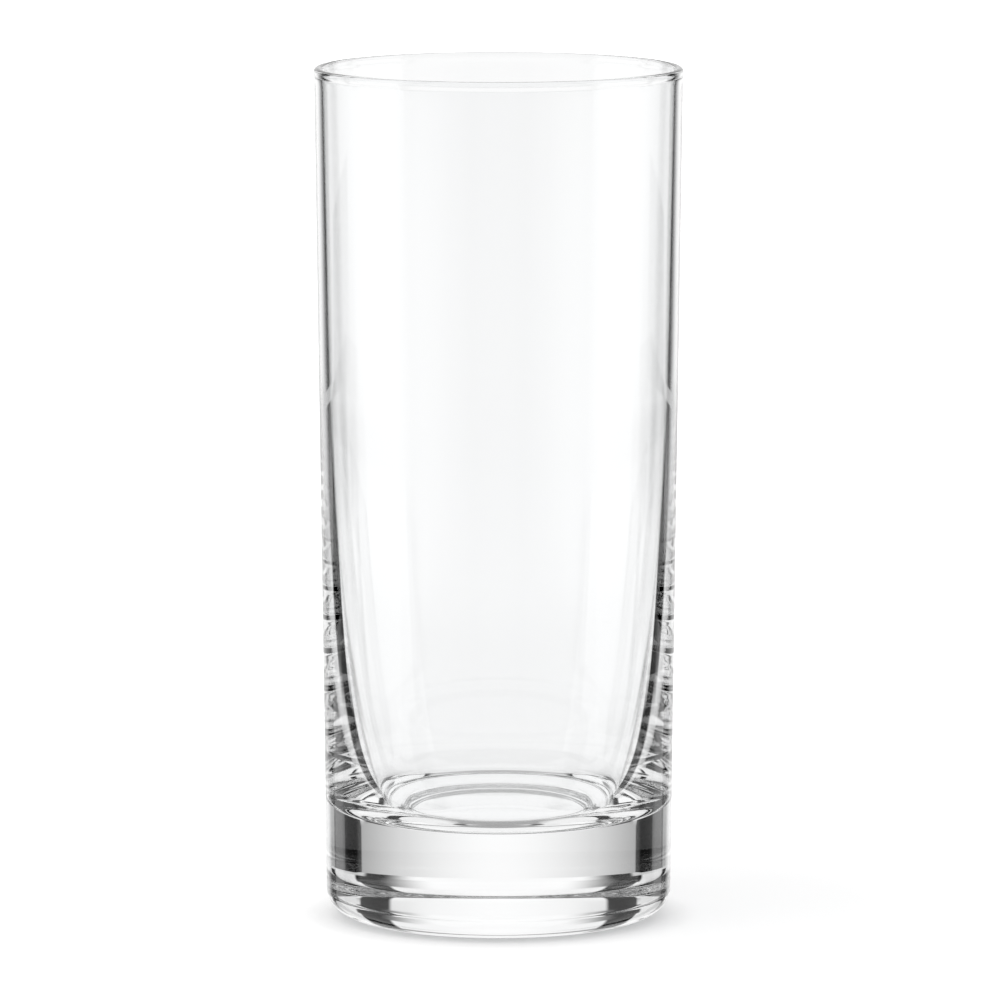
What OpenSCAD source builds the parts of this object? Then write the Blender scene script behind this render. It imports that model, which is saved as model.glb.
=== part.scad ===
// Highball glass: a tall, slightly tapered tumbler of clear soda-lime glass with a heavy base.
// Lengths are in millimetres, +Z is up, and the origin is the centre of the foot, on the table.
// The real glass is one continuous piece. It is drawn here in its three natural zones, the base,
// the wall and the rim, which meet face to face on level planes and follow one shared section.

/* [Overall] */
// Height from the table to the top of the rim
glass_h = 150; // [130:1:170]
// Outside diameter of the wall just below the rim
rim_d = 64.5; // [61:0.5:70]
// Outside diameter that the line of the wall would have at the table
base_d = 60.7; // [57:0.1:64]

/* [Rim] */
// Thickness of the wall just below the rim
rim_wall = 1.4; // [1.1:0.1:2.4]
// How far the fire-polished bead stands out beyond the wall, outside and inside
bead_out = 0.12; // [0.05:0.01:0.3]
// Height of the rim zone, from where the bead starts to swell up to its top
bead_h = 1.8; // [1.8:0.1:4]

/* [Wall] */
// Thickness of the wall at the height where it starts to thicken
middle_wall = 1.8; // [1.4:0.1:2.6]
// Height above the table at which the wall starts to thicken
thicken_z = 100; // [85:1:120]
// Lean of the inner wall, in degrees from upright, that its slow thickening comes to at the floor
wall_lean = 9.3; // [7:0.1:11]
// Lean of the inner wall, in degrees from upright, where it runs into the curve of the floor
foot_lean = 16.5; // [12:0.1:20]

/* [Base] */
// Height of the floor of the bowl above the table
base_t = 17.7; // [12:0.1:24]
// Radius of the curve between the floor and the inner wall
floor_r = 6.5; // [4:0.1:10]
// Width of the heel, from the outer wall in to the flat ring that the glass stands on
heel_w = 5.6; // [3:0.1:7]
// Height of the heel, from the table to where the straight outer wall starts
heel_h = 4.8; // [3:0.1:8]

/* [Underside] */
// Width of the flat ring that the glass stands on
ring_w = 1; // [0.6:0.1:2]
// Depth of the hollow inside the ring
hollow_h = 2.5; // [1:0.1:4]
// Width of the sloping side of the hollow
hollow_side_w = 6.5; // [2:0.1:9]

/* [Hidden] */
$fn = 96;

glass_tint = [0.93, 0.96, 0.95, 0.4];

// Steps in each round stretch of the section
heel_steps = 16;
floor_steps = 20;
side_steps = 8;
wall_steps = 20;
swell_steps = 8;
bead_steps = 24;

// Outer wall: a straight taper from the table to the rim zone
rim_z = glass_h - bead_h;
taper = (rim_d - base_d) / 2 / rim_z;
function outer_r(z) = base_d / 2 + taper * z;

// Inner wall: a straight upper stretch, a slow thickening, and a rounder draw-in just above the floor
floor_top_z = base_t + floor_r * (1 - sin(foot_lean));
thin_slope = (middle_wall - rim_wall) / (rim_z - thicken_z);
thick_reach = thicken_z - floor_top_z;
thick_curve = 2.5;
thick_gain = (tan(wall_lean) - taper - thin_slope) * thick_reach / thick_curve;
foot_curve = 10;
foot_gain = (tan(foot_lean) - tan(wall_lean)) * thick_reach / foot_curve;
function thick_share(z) = max(0, (thicken_z - z) / thick_reach);
function thickening(z) = thick_gain * thick_share(z) ^ thick_curve + foot_gain * thick_share(z) ^ foot_curve;
function wall_t(z) = rim_wall + thin_slope * (rim_z - z) + thickening(z);
function inner_r(z) = outer_r(z) - wall_t(z);

// Points along an arc round a centre, from one angle to another
function arc(centre, r, from, to, steps) =
    [for (i = [0:steps]) let (a = from + (to - from) * i / steps) centre + r * [cos(a), sin(a)]];

// Heel: a quarter of an oval, from the flat ring up to the straight wall
ring_outer_r = base_d / 2 - heel_w;
heel_reach = outer_r(heel_h) - ring_outer_r;
heel_curve = [
    for (i = [0:heel_steps])
    let (a = 90 * i / heel_steps)
    [ring_outer_r + heel_reach * sin(a), heel_h * (1 - cos(a))]
];

// Floor of the bowl: flat in the middle, with an arc tangent to the inner wall
floor_centre = [inner_r(floor_top_z) - floor_r * cos(foot_lean), base_t + floor_r];
floor_arc = arc(floor_centre, floor_r, -foot_lean, -90, floor_steps);

// Underside: a shallow flat hollow, with a smooth side down to the inside edge of the flat ring
ring_inner_r = ring_outer_r - ring_w;
hollow_flat_r = ring_inner_r - hollow_side_w;
function ease(share) = (1 + cos(180 * share)) / 2;
hollow_side = [
    for (i = [0:side_steps])
    let (share = i / side_steps)
    [hollow_flat_r + hollow_side_w * share, hollow_h * ease(share)]
];

// Bead: a round top edge a little wider than the wall, which swells into it smoothly
bead_r = rim_wall / 2 + bead_out;
bead_z = glass_h - bead_r;
bead_centre = [outer_r(rim_z) - rim_wall / 2, bead_z];
bead_arc = arc(bead_centre, bead_r, 0, 180, bead_steps);
function swell(share) = bead_out * (1 - ease(share));

module base() {
    section = concat(
        [[0, hollow_h]],
        hollow_side,
        heel_curve,
        [[outer_r(floor_top_z), floor_top_z]],
        floor_arc,
        [[0, base_t]]
    );
    color(glass_tint)
    rotate_extrude()
    polygon(section);
}

module wall() {
    inner_side = [
        for (i = [0:wall_steps])
        let (z = thicken_z + (floor_top_z - thicken_z) * i / wall_steps)
        [inner_r(z), z]
    ];
    section = concat(
        [[outer_r(floor_top_z), floor_top_z], [outer_r(rim_z), rim_z], [inner_r(rim_z), rim_z]],
        inner_side
    );
    color(glass_tint)
    rotate_extrude()
    polygon(section);
}

module rim() {
    outer_side = [
        for (i = [0:swell_steps - 1])
        let (share = i / swell_steps)
        [outer_r(rim_z) + swell(share), rim_z + (bead_z - rim_z) * share]
    ];
    inner_side = [
        for (i = [1:swell_steps])
        let (share = 1 - i / swell_steps)
        [inner_r(rim_z) - swell(share), rim_z + (bead_z - rim_z) * share]
    ];
    color(glass_tint)
    rotate_extrude()
    polygon(concat(outer_side, bead_arc, inner_side));
}

base();
wall();
rim();
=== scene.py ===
import math

import bmesh
import bpy
from mathutils import Matrix, Vector


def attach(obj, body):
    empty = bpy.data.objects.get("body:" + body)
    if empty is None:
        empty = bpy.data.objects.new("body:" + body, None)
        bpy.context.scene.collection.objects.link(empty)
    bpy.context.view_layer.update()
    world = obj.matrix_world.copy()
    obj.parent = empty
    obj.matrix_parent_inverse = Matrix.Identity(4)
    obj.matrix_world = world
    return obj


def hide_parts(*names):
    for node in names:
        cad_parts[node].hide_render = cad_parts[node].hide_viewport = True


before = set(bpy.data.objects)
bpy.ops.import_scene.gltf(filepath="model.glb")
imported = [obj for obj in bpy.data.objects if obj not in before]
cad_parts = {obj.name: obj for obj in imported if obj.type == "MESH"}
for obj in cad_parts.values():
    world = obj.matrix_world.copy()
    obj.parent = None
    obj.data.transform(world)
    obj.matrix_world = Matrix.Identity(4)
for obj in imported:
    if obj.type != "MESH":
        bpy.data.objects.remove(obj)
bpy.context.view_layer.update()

# Highball glass
# The whole object is one thick piece of clear soda-lime glass, pressed in a mould and fire-polished.
# The wall thickens smoothly down to a heavy solid base, the rim is melted to a round bead, and the
# underside is hollowed inside the narrow ring that the glass stands on.
glass_height = 0.150
wall_radius_at_table = 0.03035
wall_radius_at_rim = 0.03225
rim_zone_height = 0.0018
rim_wall = 0.0014
bead_swell = 0.00012
middle_wall = 0.0018
thicken_height = 0.100
thicken_power = 2.5
foot_power = 10
wall_lean = math.radians(9.3)
foot_lean = math.radians(16.5)
base_thickness = 0.0177
floor_curve = 0.0065
heel_width = 0.0056
heel_height = 0.0048
ring_width = 0.001
hollow_depth = 0.0025
hollow_side = 0.0065

rim_start = glass_height - rim_zone_height
wall_taper = (wall_radius_at_rim - wall_radius_at_table) / rim_start
floor_start = base_thickness + floor_curve * (1 - math.sin(foot_lean))
thin_slope = (middle_wall - rim_wall) / (rim_start - thicken_height)
thick_reach = thicken_height - floor_start
thick_gain = (math.tan(wall_lean) - wall_taper - thin_slope) * thick_reach / thicken_power
foot_gain = (math.tan(foot_lean) - math.tan(wall_lean)) * thick_reach / foot_power


def outer_radius(z):
    return wall_radius_at_table + wall_taper * z


def inner_radius(z):
    share = max(0.0, (thicken_height - z) / thick_reach)
    thickening = thick_gain * share ** thicken_power + foot_gain * share ** foot_power
    return outer_radius(z) - rim_wall - thin_slope * (rim_start - z) - thickening


def outer_at(z):
    return outer_radius(z), z


def inner_at(z):
    return inner_radius(z), z


# The section is a wire from the axis under the base, out and up round the rim, and down to the floor.
under_steps, hollow_steps, heel_steps, wall_steps = 8, 20, 40, 60
swell_steps, bead_steps, inner_steps, curve_steps, floor_steps = 14, 36, 110, 56, 10
steps_round = 224
weld_distance = 1e-6
section = bmesh.new()


def draw_line(start, r, z):
    end = bmesh.ops.extrude_vert_indiv(section, verts=[start])["verts"][0]
    end.co = (r, 0, z)
    return end


def draw_run(start, steps, place):
    for step in range(steps):
        start = draw_line(start, *place((step + 1) / steps))
    return start


def draw_arc(start, r, z, turn, steps):
    swept = bmesh.ops.spin(section, geom=[start], cent=(r, 0, z), axis=(0, -1, 0), angle=turn, steps=steps)
    return [v for v in swept["geom_last"] if isinstance(v, bmesh.types.BMVert)][0]


ring_outside = wall_radius_at_table - heel_width
hollow_flat = ring_outside - ring_width - hollow_side


def under_at(share):
    return hollow_flat * share, hollow_depth


def hollow_at(share):
    return hollow_flat + hollow_side * share, hollow_depth * (1 + math.cos(math.pi * share)) / 2


under_middle = section.verts.new((0, 0, hollow_depth))
hollow_edge = draw_run(under_middle, under_steps, under_at)
ring_edge = draw_run(hollow_edge, hollow_steps, hollow_at)
heel_start = draw_line(ring_edge, ring_outside, 0)

# The heel is a quarter circle, squeezed to its height and stretched to meet the tapered wall.
heel_end = draw_arc(heel_start, ring_outside, heel_width, math.pi / 2, heel_steps)
heel_curve = [v for v in section.verts if v.co.x > heel_start.co.x + weld_distance]
squeeze = Matrix.Diagonal((1 + wall_taper * heel_height / heel_width, 1, heel_height / heel_width))
for v in heel_curve:
    v.co = heel_start.co + squeeze @ (v.co - heel_start.co)


def wall_at(share):
    return outer_at(heel_height + (rim_start - heel_height) * share)


wall_top = draw_run(heel_end, wall_steps, wall_at)

# The bead is a round edge a little wider than the wall, which swells into it over the rim zone.
bead_radius = rim_wall / 2 + bead_swell
bead_middle = outer_radius(rim_start) - rim_wall / 2
bead_height = glass_height - bead_radius


def swell(share):
    return bead_swell * (1 - math.cos(math.pi * share)) / 2


def rim_height(share):
    return rim_start + (bead_height - rim_start) * share


def bead_outside_at(share):
    return outer_radius(rim_start) + swell(share), rim_height(share)


def bead_inside_at(share):
    return inner_radius(rim_start) - swell(1 - share), rim_height(1 - share)


bead_start = draw_run(wall_top, swell_steps, bead_outside_at)
bead_end = draw_arc(bead_start, bead_middle, bead_height, math.pi, bead_steps)
inner_top = draw_run(bead_end, swell_steps, bead_inside_at)

# The floor of the bowl is flat in the middle, with an arc that runs into the inner wall.
floor_flat = inner_radius(floor_start) - floor_curve * math.cos(foot_lean)


def inner_wall_at(share):
    return inner_at(rim_start + (floor_start - rim_start) * share)


def floor_at(share):
    return floor_flat * (1 - share), base_thickness


inner_foot = draw_run(inner_top, inner_steps, inner_wall_at)
curve_height = base_thickness + floor_curve
floor_edge = draw_arc(inner_foot, floor_flat, curve_height, foot_lean - math.pi / 2, curve_steps)
draw_run(floor_edge, floor_steps, floor_at)

bmesh.ops.spin(section, geom=section.verts[:] + section.edges[:], cent=(0, 0, 0), axis=(0, 0, 1),
               angle=2 * math.pi, steps=steps_round, use_merge=True)
bmesh.ops.remove_doubles(section, verts=section.verts, dist=weld_distance)
bmesh.ops.recalc_face_normals(section, faces=section.faces)
for face in section.faces:
    face.smooth = True
glass_mesh = bpy.data.meshes.new("highball_glass")
section.to_mesh(glass_mesh)
section.free()
glass = bpy.data.objects.new("highball_glass", glass_mesh)
bpy.context.scene.collection.objects.link(glass)

# The glass has a trace of blue, and the faint ripple and uneven polish that pressing leaves.
soda_lime_ior = 1.52
melt_scale, melt_detail = 35, 2
tint_pale, tint_clear = (0.992, 0.997, 1.0, 1), (0.996, 0.999, 1.0, 1)
melt_low, melt_high = 0.3, 0.7
polish_best, polish_least = 0.0, 0.0025
ripple_strength, ripple_height = 0.04, 0.00004
shadow_tint = (0.95, 0.952, 0.955, 1)

clear_glass = bpy.data.materials.new("clear_soda_lime_glass")
clear_glass.use_nodes = True
nodes, links = clear_glass.node_tree.nodes, clear_glass.node_tree.links
nodes.clear()
glass_out = nodes.new("ShaderNodeOutputMaterial")
glass_body = nodes.new("ShaderNodeBsdfPrincipled")
glass_body.inputs["Metallic"].default_value = 0
glass_body.inputs["IOR"].default_value = soda_lime_ior
glass_body.inputs["Transmission Weight"].default_value = 1
glass_place = nodes.new("ShaderNodeTexCoord")
melt = nodes.new("ShaderNodeTexNoise")
melt.inputs["Scale"].default_value = melt_scale
melt.inputs["Detail"].default_value = melt_detail
links.new(glass_place.outputs["Object"], melt.inputs["Vector"])
glass_tint = nodes.new("ShaderNodeValToRGB")
glass_tint.color_ramp.elements[0].color = tint_pale
glass_tint.color_ramp.elements[1].color = tint_clear
links.new(melt.outputs["Fac"], glass_tint.inputs["Fac"])
links.new(glass_tint.outputs["Color"], glass_body.inputs["Base Color"])
polish = nodes.new("ShaderNodeMapRange")
for socket, value in zip(polish.inputs[1:], (melt_low, melt_high, polish_best, polish_least)):
    socket.default_value = value
links.new(melt.outputs["Fac"], polish.inputs["Value"])
links.new(polish.outputs["Result"], glass_body.inputs["Roughness"])
ripple = nodes.new("ShaderNodeBump")
ripple.inputs["Strength"].default_value = ripple_strength
ripple.inputs["Distance"].default_value = ripple_height
links.new(melt.outputs["Fac"], ripple.inputs["Height"])
links.new(ripple.outputs["Normal"], glass_body.inputs["Normal"])

# Light that falls through the glass on the table is let through straight, a little dimmed.
shadow_glass = nodes.new("ShaderNodeBsdfTransparent")
shadow_glass.inputs["Color"].default_value = shadow_tint
light_path = nodes.new("ShaderNodeLightPath")
shadow_mix = nodes.new("ShaderNodeMixShader")
links.new(light_path.outputs["Is Shadow Ray"], shadow_mix.inputs["Fac"])
links.new(glass_body.outputs["BSDF"], shadow_mix.inputs[1])
links.new(shadow_glass.outputs["BSDF"], shadow_mix.inputs[2])
links.new(shadow_mix.outputs["Shader"], glass_out.inputs["Surface"])
glass_mesh.materials.append(clear_glass)

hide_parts("base", "wall", "rim")
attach(glass, "root")

# Table
# A plain white studio table. The camera sees it as white, with the soft shadow that the glass casts from the
# soft box above, and a painted contact shade round its foot, where ambient occlusion dims the table's glow.
# The glass itself shows the white of the table from the lowest rows of the studio's light below.
table_half, table_drop = 3, 0.0002
board_white = (0.85, 0.85, 0.85, 1)
shadow_reach, shadow_end = 0.06, 0.20
lift_in_shadow, lift_beyond = 0.30, 1.0
# Reach and sample count of the painted contact shade at the foot of the glass.
painted_shade_reach, painted_shade_samples = 0.006, 8

table_sheet = bmesh.new()
bmesh.ops.create_grid(table_sheet, x_segments=1, y_segments=1, size=table_half)
bmesh.ops.translate(table_sheet, verts=table_sheet.verts, vec=(0, 0, -table_drop))
table_mesh = bpy.data.meshes.new("studio_table")
table_sheet.to_mesh(table_mesh)
table_sheet.free()
table = bpy.data.objects.new("studio_table", table_mesh)
bpy.context.scene.collection.objects.link(table)
white_board = bpy.data.materials.new("white_board")
white_board.use_nodes = True
nodes, links = white_board.node_tree.nodes, white_board.node_tree.links
nodes.clear()
board_out = nodes.new("ShaderNodeOutputMaterial")
board = nodes.new("ShaderNodeBsdfDiffuse")
board.inputs["Color"].default_value = board_white
board_lift = nodes.new("ShaderNodeEmission")
place = nodes.new("ShaderNodeTexCoord")
distance = nodes.new("ShaderNodeVectorMath")
distance.operation = "LENGTH"
links.new(place.outputs["Object"], distance.inputs[0])
near_glass = nodes.new("ShaderNodeMapRange")
near_glass.interpolation_type = "SMOOTHSTEP"
for socket, value in zip(near_glass.inputs[1:], (shadow_reach, shadow_end, lift_in_shadow, lift_beyond)):
    socket.default_value = value
links.new(distance.outputs["Value"], near_glass.inputs["Value"])
# Painted contact shade: ambient occlusion dims the table's glow close round the glass, which draws a dark rim
# at its foot.
painted_contact_shade = nodes.new("ShaderNodeAmbientOcclusion")
painted_contact_shade.samples = painted_shade_samples
painted_contact_shade.inputs["Distance"].default_value = painted_shade_reach
lift_with_painted_shade = nodes.new("ShaderNodeMath")
lift_with_painted_shade.operation = "MULTIPLY"
links.new(near_glass.outputs["Result"], lift_with_painted_shade.inputs[0])
links.new(painted_contact_shade.outputs["AO"], lift_with_painted_shade.inputs[1])
links.new(lift_with_painted_shade.outputs["Value"], board_lift.inputs["Strength"])
board_sum = nodes.new("ShaderNodeAddShader")
links.new(board.outputs["BSDF"], board_sum.inputs[0])
links.new(board_lift.outputs["Emission"], board_sum.inputs[1])
links.new(board_sum.outputs["Shader"], board_out.inputs["Surface"])
table_mesh.materials.append(white_board)
table.visible_glossy = False
table.visible_transmission = False

# Studio light
# A white backdrop stands behind the glass, with a black flag and then a white panel on each side of it, and
# a soft box at each front side. They stand in rows by height, since the glass bends each row apart.
# The camera itself sees plain white, and one soft box above gives the table its cast shadow; the dark rim at
# the foot of the glass is painted contact shade on the table.
studio = bpy.data.worlds.new("studio")
bpy.context.scene.world = studio
studio.use_nodes = True
nodes, links = studio.node_tree.nodes, studio.node_tree.links
nodes.clear()


def set_or_link(socket, value):
    if isinstance(value, (int, float)):
        socket.default_value = value
    else:
        links.new(value, socket)


def calc(operation, *values):
    node = nodes.new("ShaderNodeMath")
    node.operation = operation
    for socket, value in zip(node.inputs, values):
        set_or_link(socket, value)
    return node.outputs[0]


def fade(value, start, end, before, after):
    node = nodes.new("ShaderNodeMapRange")
    node.interpolation_type = "SMOOTHSTEP"
    for socket, given in zip(node.inputs, (value, start, end, before, after)):
        set_or_link(socket, given)
    return node.outputs[0]


def blend(share, low, high):
    return calc("ADD", calc("MULTIPLY", low, calc("SUBTRACT", 1, share)), calc("MULTIPLY", high, share))


def within(value, start, end, soft):
    entry = fade(value, start - soft, start + soft, 0, 1)
    return calc("MULTIPLY", entry, fade(value, end - soft, end + soft, 1, 0))


# Turn is the angle round the glass from straight behind it, and rise the angle above level, in degrees.
to_degrees = 180 / math.pi
direction = nodes.new("ShaderNodeTexCoord")
axes = nodes.new("ShaderNodeSeparateXYZ")
links.new(direction.outputs["Generated"], axes.inputs[0])
turn = calc("ABSOLUTE", calc("MULTIPLY", calc("ARCTAN2", axes.outputs["X"], axes.outputs["Y"]), to_degrees))
rise = calc("MULTIPLY", calc("ARCSINE", axes.outputs["Z"]), to_degrees)

panel_start_soft, panel_end_soft = 1, 2
room_start, room_full = 116, 124


def panel_row(middle, edge, half, soft, panel_start, panel_end, panel, gap, room):
    backdrop = calc("MULTIPLY", fade(turn, 0, half, middle, edge), fade(turn, half - soft, half + soft, 1, 0))
    panel_entry = fade(turn, panel_start - panel_start_soft, panel_start + panel_start_soft, 0, 1)
    panel_level = fade(turn, panel_end - panel_end_soft, panel_end + panel_end_soft, panel, gap)
    sides = calc("MULTIPLY", panel_entry, panel_level)
    return calc("ADD", backdrop, blend(fade(turn, room_start, room_full, 0, 1), sides, room))


# Table row: the white table, with a painted shadow right under the glass: the view straight down is dimmed to
# stand for the glass's own shadow on the table.
painted_shadow_level = 0.40
table_row = panel_row(middle=0.97, edge=0.92, half=31, soft=2,
                      panel_start=44, panel_end=104, panel=0.9, gap=0.15, room=0.8)
table_row = blend(fade(rise, start=-72, end=-62, before=1, after=0), table_row, painted_shadow_level)

# Lower row: what the lower wall shows, with a second panel at the front.
lower_row = panel_row(middle=1.0, edge=0.97, half=26, soft=2,
                      panel_start=41, panel_end=66, panel=1.0, gap=0.03, room=0.75)
lower_row = calc("ADD", lower_row, within(turn, start=84, end=114, soft=1))

# Wall row: what the long wall shows. Its panels brighten outwards, and the room behind the camera is dimmer.
backdrop_white = 1.03
wall_panel = calc("MULTIPLY", fade(turn, start=38, end=41, before=0, after=1),
                  fade(turn, start=40, end=72, before=0.6, after=0.95))
wall_panel = calc("MULTIPLY", wall_panel, fade(turn, start=112, end=114, before=1, after=0.75))
wall_row = calc("ADD", fade(turn, start=19, end=32, before=backdrop_white, after=0), wall_panel)
wall_row = calc("MULTIPLY", wall_row, fade(turn, start=126, end=164, before=1, after=0.6))

# Foot row and heel row: what the curve of the bowl and the rounded heel show.
foot_panel = 0.85
foot_row = calc("ADD", fade(turn, start=14, end=34, before=backdrop_white, after=0),
                calc("MULTIPLY", within(turn, start=45, end=64, soft=1), foot_panel))
heel_row = panel_row(middle=1.05, edge=0.9, half=29, soft=1,
                     panel_start=43, panel_end=64, panel=0.85, gap=0.03, room=0.12)

# Top row: a dark gap above the backdrop, with a large soft box overhead.
overhead = fade(turn, start=88, end=92, before=0.95, after=0.12)
top_row = calc("ADD", fade(turn, start=29, end=31, before=0.25, after=0.02),
               within(turn, start=46, end=100, soft=1.5))
top_row = blend(fade(rise, start=53, end=56, before=0, after=1), top_row, overhead)

seen_in_glass = blend(fade(rise, start=-28, end=-20, before=0, after=1), table_row, lower_row)
for row, start, end in ((wall_row, -15, -12), (foot_row, -4.5, -2.5), (heel_row, 8, 11), (top_row, 27, 31)):
    seen_in_glass = blend(fade(rise, start, end, before=0, after=1), seen_in_glass, row)

# Strip: the narrow band of the backdrop that the solid base shows, between two black bars. It is soft
# in the middle, where it melts into the wall row, and sharp at the bars.
strip_slope = 0.0056
strip_height = calc("SUBTRACT", rise, calc("MULTIPLY", turn, strip_slope))
soft_until, sharp_from = 18, 27
strip_soft = fade(turn, soft_until, sharp_from, before=0.5, after=0.06)
strip_low = fade(turn, soft_until, sharp_from, before=-9.9, after=-9.33)
strip_top = fade(turn, soft_until, sharp_from, before=-8.3, after=-8.88)
strip_top = calc("ADD", strip_top, fade(turn, start=42, end=46, before=0, after=1.2))
strip = calc("MULTIPLY", fade(strip_height, strip_low, calc("ADD", strip_low, strip_soft), 0, 1),
             fade(strip_height, calc("SUBTRACT", strip_top, strip_soft), strip_top, 1, 0))
strip = calc("MULTIPLY", strip, fade(turn, start=64, end=67, before=1, after=0))
strip_row = calc("MULTIPLY", fade(turn, start=0, end=52, before=backdrop_white, after=0.30),
                 fade(turn, start=41.2, end=42.2, before=1, after=0))
strip_row = calc("ADD", strip_row, fade(turn, start=53, end=54, before=0, after=0.16))
seen_in_glass = blend(strip, seen_in_glass, strip_row)

# Soft boxes at the front sides, and low flags that keep them off the black bars.
front_level, flag_level = 1.0, 0.08
front_box = calc("MULTIPLY", within(turn, start=70, end=113, soft=1),
                 within(rise, start=-30, end=14, soft=1.5))
seen_in_glass = blend(front_box, seen_in_glass, front_level)
low_flag = calc("MULTIPLY", within(turn, start=53, end=72, soft=3),
                within(rise, start=-13.2, end=-8.6, soft=1.6))
seen_in_glass = blend(low_flag, seen_in_glass, flag_level)

table_light, camera_white = 0.5, 1.0
rays = nodes.new("ShaderNodeLightPath")
glass_or_light = nodes.new("ShaderNodeMix")
links.new(rays.outputs["Is Diffuse Ray"], glass_or_light.inputs["Factor"])
links.new(seen_in_glass, glass_or_light.inputs["A"])
glass_or_light.inputs["B"].default_value = table_light
seen_or_camera = nodes.new("ShaderNodeMix")
links.new(rays.outputs["Is Camera Ray"], seen_or_camera.inputs["Factor"])
links.new(glass_or_light.outputs["Result"], seen_or_camera.inputs["A"])
seen_or_camera.inputs["B"].default_value = camera_white
sky = nodes.new("ShaderNodeBackground")
sky.inputs["Color"].default_value = (1, 1, 1, 1)
links.new(seen_or_camera.outputs["Result"], sky.inputs["Strength"])
sky_out = nodes.new("ShaderNodeOutputWorld")
links.new(sky.outputs["Background"], sky_out.inputs["Surface"])

key_side, key_watts = 0.5, 8
key_place, key_aim = (-0.5, -0.2, 1.2), Vector((0, 0, 0.075))
key_light = bpy.data.lights.new("key_soft_box", "AREA")
key_light.shape = "RECTANGLE"
key_light.size, key_light.size_y = key_side, key_side
key_light.energy = key_watts
key = bpy.data.objects.new("key_soft_box", key_light)
bpy.context.scene.collection.objects.link(key)
key.location = key_place
key.rotation_euler = (key_aim - key.location).to_track_quat("-Z", "Y").to_euler()
key.visible_glossy = False
key.visible_transmission = False

# Camera
# A long lens a step and a half away, a little above the rim, which looks slightly down at the glass.
# Light bends many times inside the thick base, so paths through the glass are followed a long way.
camera_place, camera_aim = (0, -1.543, 0.280), Vector((0, 0, 0.0736))
sensor_width, focal_length, side_shift = 36, 318.6, 0.0014
glass_bounces, shadow_bounces = 48, 32

lens = bpy.data.cameras.new("camera")
lens.sensor_width = sensor_width
lens.lens = focal_length
lens.shift_x = side_shift
camera = bpy.data.objects.new("camera", lens)
bpy.context.scene.collection.objects.link(camera)
camera.location = camera_place
camera.rotation_euler = (camera_aim - camera.location).to_track_quat("-Z", "Y").to_euler()
bpy.context.scene.camera = camera

scene = bpy.context.scene
scene.view_settings.view_transform = "Standard"
scene.cycles.max_bounces = glass_bounces
scene.cycles.glossy_bounces = glass_bounces
scene.cycles.transmission_bounces = glass_bounces
scene.cycles.transparent_max_bounces = shadow_bounces
